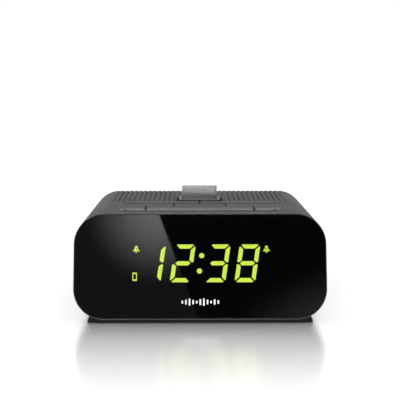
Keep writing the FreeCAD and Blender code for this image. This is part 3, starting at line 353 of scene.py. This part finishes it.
# The key's box starts at its flange, which is this far in front of its face.
KEY_LIP = 0.8 * MM
MARK_OUTLINE = [(-0.5, -0.3), (-0.3, -0.5), (0.3, -0.5), (0.5, -0.3),
                (0.5, 0.3), (0.3, 0.5), (-0.3, 0.5), (-0.5, 0.3)]


def key_mark(key, inward):
    """A dark printed lozenge on the front face of an outer front key, inward from its end."""
    near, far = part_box(key)
    end = near.x if inward > 0 else far.x
    x = end + inward * MARK_IN
    face = near.y + KEY_LIP
    z = far.z - MARK_DOWN
    mesh = bmesh.new()
    front, back = [
        [mesh.verts.new((x + across * MARK_WIDE, y, z + up * MARK_TALL))
         for across, up in MARK_OUTLINE]
        for y in (face - MARK_PROUD, face + MARK_SINK)
    ]
    join_rings(mesh, back, front)
    mesh.faces.new(front[::-1])
    mesh.faces.new(back)
    mark = added_piece(f"{key}_mark", mesh, "mask_print")
    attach(mark, f"{key}_body")


key_mark("alarm_one_key", 1)
key_mark("alarm_two_key", -1)

# ------------------------------------------------------------------ finishes
# Some of the dock's metal shows through the gap round the pedestal, so these are painted black:
# painted shade that keeps the gap dark.
DOCK_PARTS_PAINTED_SHADE = ("dock_screws", "dock_pivot_pin", "dock_springs")
for sub_part in frame["record"]["subparts"]:
    piece = nodes[sub_part["node"]]
    # Painted shade: the dock parts named above take black metal in place of their own finish.
    black = sub_part["node"] in DOCK_PARTS_PAINTED_SHADE
    finish = materials["frame_metal" if black else sub_part["material_slot"]]
    for place in range(len(piece.material_slots)):
        piece.material_slots[place].material = finish


# ------------------------------------------------------------------ table
TABLE_REACH = 30.0
TABLE_ROUGH = 0.22
# The table is like a mirror under the object, and less so further out.
POLISH = 0.78
POLISH_REACH = 0.125
# It glows a little far away, so that it meets the backdrop without a grey band.
FAR_GLOW = (0.3, 0.0, 2.0, 0.38)


def flat_sheet(name, corners, material):
    """A flat four-sided sheet with one material."""
    mesh = bpy.data.meshes.new(name)
    mesh.from_pydata(corners, [], [(0, 1, 2, 3)])
    mesh.materials.append(material)
    sheet = bpy.data.objects.new(name, mesh)
    scene.collection.objects.link(sheet)
    return sheet


def make_table():
    """A white table top that runs out of sight, polished where the object stands."""
    g = Graph("pale_table")
    drift = g.noise(3.0)
    g.join(g.blend(drift, (0.93, 0.93, 0.93), (0.96, 0.96, 0.96)), g.shader.inputs["Base Color"])
    g.shader.inputs["Roughness"].default_value = TABLE_ROUGH
    parts = g.add("ShaderNodeSeparateXYZ")
    g.join(g.place, parts.inputs["Vector"])
    outside = []
    for axis, half in (("X", high.x), ("Y", high.y)):
        size = g.sums("ABSOLUTE", parts.outputs[axis])
        outside.append(g.sums("MAXIMUM", g.sums("SUBTRACT", size, half), 0.0))
    squares = [g.sums("MULTIPLY", length, length) for length in outside]
    away = g.sums("SQRT", g.sums("ADD", *squares))
    fade = g.sums("EXPONENT", g.sums("MULTIPLY", away, -1.0 / POLISH_REACH))
    g.join(g.sums("MULTIPLY", fade, POLISH), g.shader.inputs["Metallic"])
    g.shader.inputs["Emission Color"].default_value = WHITE
    g.join(g.ramp(away, *FAR_GLOW, smooth=True), g.shader.inputs["Emission Strength"])
    reach = TABLE_REACH
    corners = [(-reach, -reach, 0), (reach, -reach, 0), (reach, reach, 0), (-reach, reach, 0)]
    table = flat_sheet("table_top", corners, g.material)


# ------------------------------------------------------------------ light
# Light from the room falls off towards the front, and close to the horizon.
ROOM_FRONT = 0.002
ROOM_BACK = 1.0
ROOM_LOW = 0.14
ROOM_HIGH = 1.0
PANEL_Y = low.y - 0.99
MID_HEIGHT = (0.0, 0.0, 0.05)


def aim_at(thing, spot, target):
    thing.location = spot
    thing.rotation_euler = (Vector(target) - Vector(spot)).to_track_quat("-Z", "Y").to_euler()
    scene.collection.objects.link(thing)


def area_light(name, spot, target, size, power, gloss=True):
    """A soft box that the camera does not see, and that gloss may not show either."""
    data = bpy.data.lights.new(name, "AREA")
    data.shape = "RECTANGLE"
    data.size, data.size_y = size
    data.energy = power
    lamp = bpy.data.objects.new(name, data)
    lamp.visible_camera = False
    lamp.visible_glossy = gloss
    aim_at(lamp, spot, target)


def sky_light(power, spread):
    """Even light from straight above, as from a large white ceiling."""
    data = bpy.data.lights.new("ceiling", "SUN")
    data.energy = power
    data.angle = math.radians(spread)
    lamp = bpy.data.objects.new("ceiling", data)
    aim_at(lamp, (0.0, 0.1, 2.0), (0.0, 0.0, 0.0))


def make_world():
    """White for the camera; for all else a room that is bright behind and dark in front."""
    world = bpy.data.worlds.new("studio")
    world.use_nodes = True
    scene.world = world
    tree = world.node_tree
    room = tree.nodes["Background"]
    place = tree.nodes.new("ShaderNodeTexCoord")
    parts = tree.nodes.new("ShaderNodeSeparateXYZ")
    tree.links.new(place.outputs["Generated"], parts.inputs["Vector"])

    depth = remap(tree, parts.outputs["Y"], -0.3, ROOM_FRONT, 0.9, ROOM_BACK, smooth=True)
    height = remap(tree, parts.outputs["Z"], 0.10, ROOM_LOW, 0.20, ROOM_HIGH, smooth=True)
    product = tree.nodes.new("ShaderNodeMath")
    product.operation = "MULTIPLY"
    tree.links.new(depth, product.inputs[0])
    tree.links.new(height, product.inputs[1])
    tree.links.new(product.outputs[0], room.inputs["Strength"])
    room.inputs["Color"].default_value = WHITE
    seen = tree.nodes.new("ShaderNodeBackground")
    seen.inputs["Color"].default_value = WHITE
    seen.inputs["Strength"].default_value = 1.0
    path = tree.nodes.new("ShaderNodeLightPath")
    mix = tree.nodes.new("ShaderNodeMixShader")
    tree.links.new(path.outputs["Is Camera Ray"], mix.inputs["Fac"])
    tree.links.new(room.outputs["Background"], mix.inputs[1])
    tree.links.new(seen.outputs["Background"], mix.inputs[2])
    tree.links.new(mix.outputs["Shader"], tree.nodes["World Output"].inputs["Surface"])


def soft_panel(name, corners, glow, least, bright_at, reach):
    """A lit screen in front, seen only in gloss: brightest at one spot and fading around it.

    corners, bright_at and reach are in X and Z; least is the share of glow left at reach.
    """
    g = Graph(name)
    g.shader.inputs["Base Color"].default_value = BLACK
    g.shader.inputs["Specular IOR Level"].default_value = 0.0
    parts = g.add("ShaderNodeSeparateXYZ")
    g.join(g.place, parts.inputs["Vector"])
    squares = []
    for axis, middle, length in zip("XZ", bright_at, reach):
        offset = g.sums("SUBTRACT", parts.outputs[axis], middle)
        share = g.sums("DIVIDE", offset, length)
        squares.append(g.sums("MULTIPLY", share, share))
    away = g.sums("SQRT", g.sums("ADD", *squares))
    g.join(g.ramp(away, 0.0, glow, 1.0, glow * least, smooth=True),
           g.shader.inputs["Emission Strength"])
    g.shader.inputs["Emission Color"].default_value = WHITE
    panel = flat_sheet(name, [(x, PANEL_Y, z) for x, z in corners], g.material)
    panel.visible_camera = False
    panel.visible_shadow = False
    panel.visible_diffuse = False


make_table()
make_world()
sky_light(power=2.75, spread=70.0)
soft_panel(
    "left_screen", [(-0.55, 0.18), (0.0256, 0.18), (-0.1005, 0.52), (-0.55, 0.52)],
    glow=3.9, least=0.04, bright_at=(-0.06, 0.425), reach=(0.13, 0.14),
)
soft_panel(
    "right_screen", [(0.02, 0.16), (0.5, 0.16), (0.5, 0.36), (0.02, 0.36)],
    glow=1.3, least=0.0, bright_at=(0.29, 0.17), reach=(0.26, 0.17),
)
area_light("front_card", (0.0, -1.3, 0.80), (0.0, 0.0, 0.03), size=(0.9, 0.5), power=5.0)
area_light("low_strip", (0.0, -1.3, 0.07), MID_HEIGHT, size=(1.4, 0.10), power=55.0, gloss=False)
area_light("left_strip", (-1.3, 0.0, 0.14), MID_HEIGHT, size=(0.8, 0.12), power=30.0, gloss=False)
area_light("right_strip", (1.3, 0.0, 0.14), MID_HEIGHT, size=(0.8, 0.12), power=20.0, gloss=False)
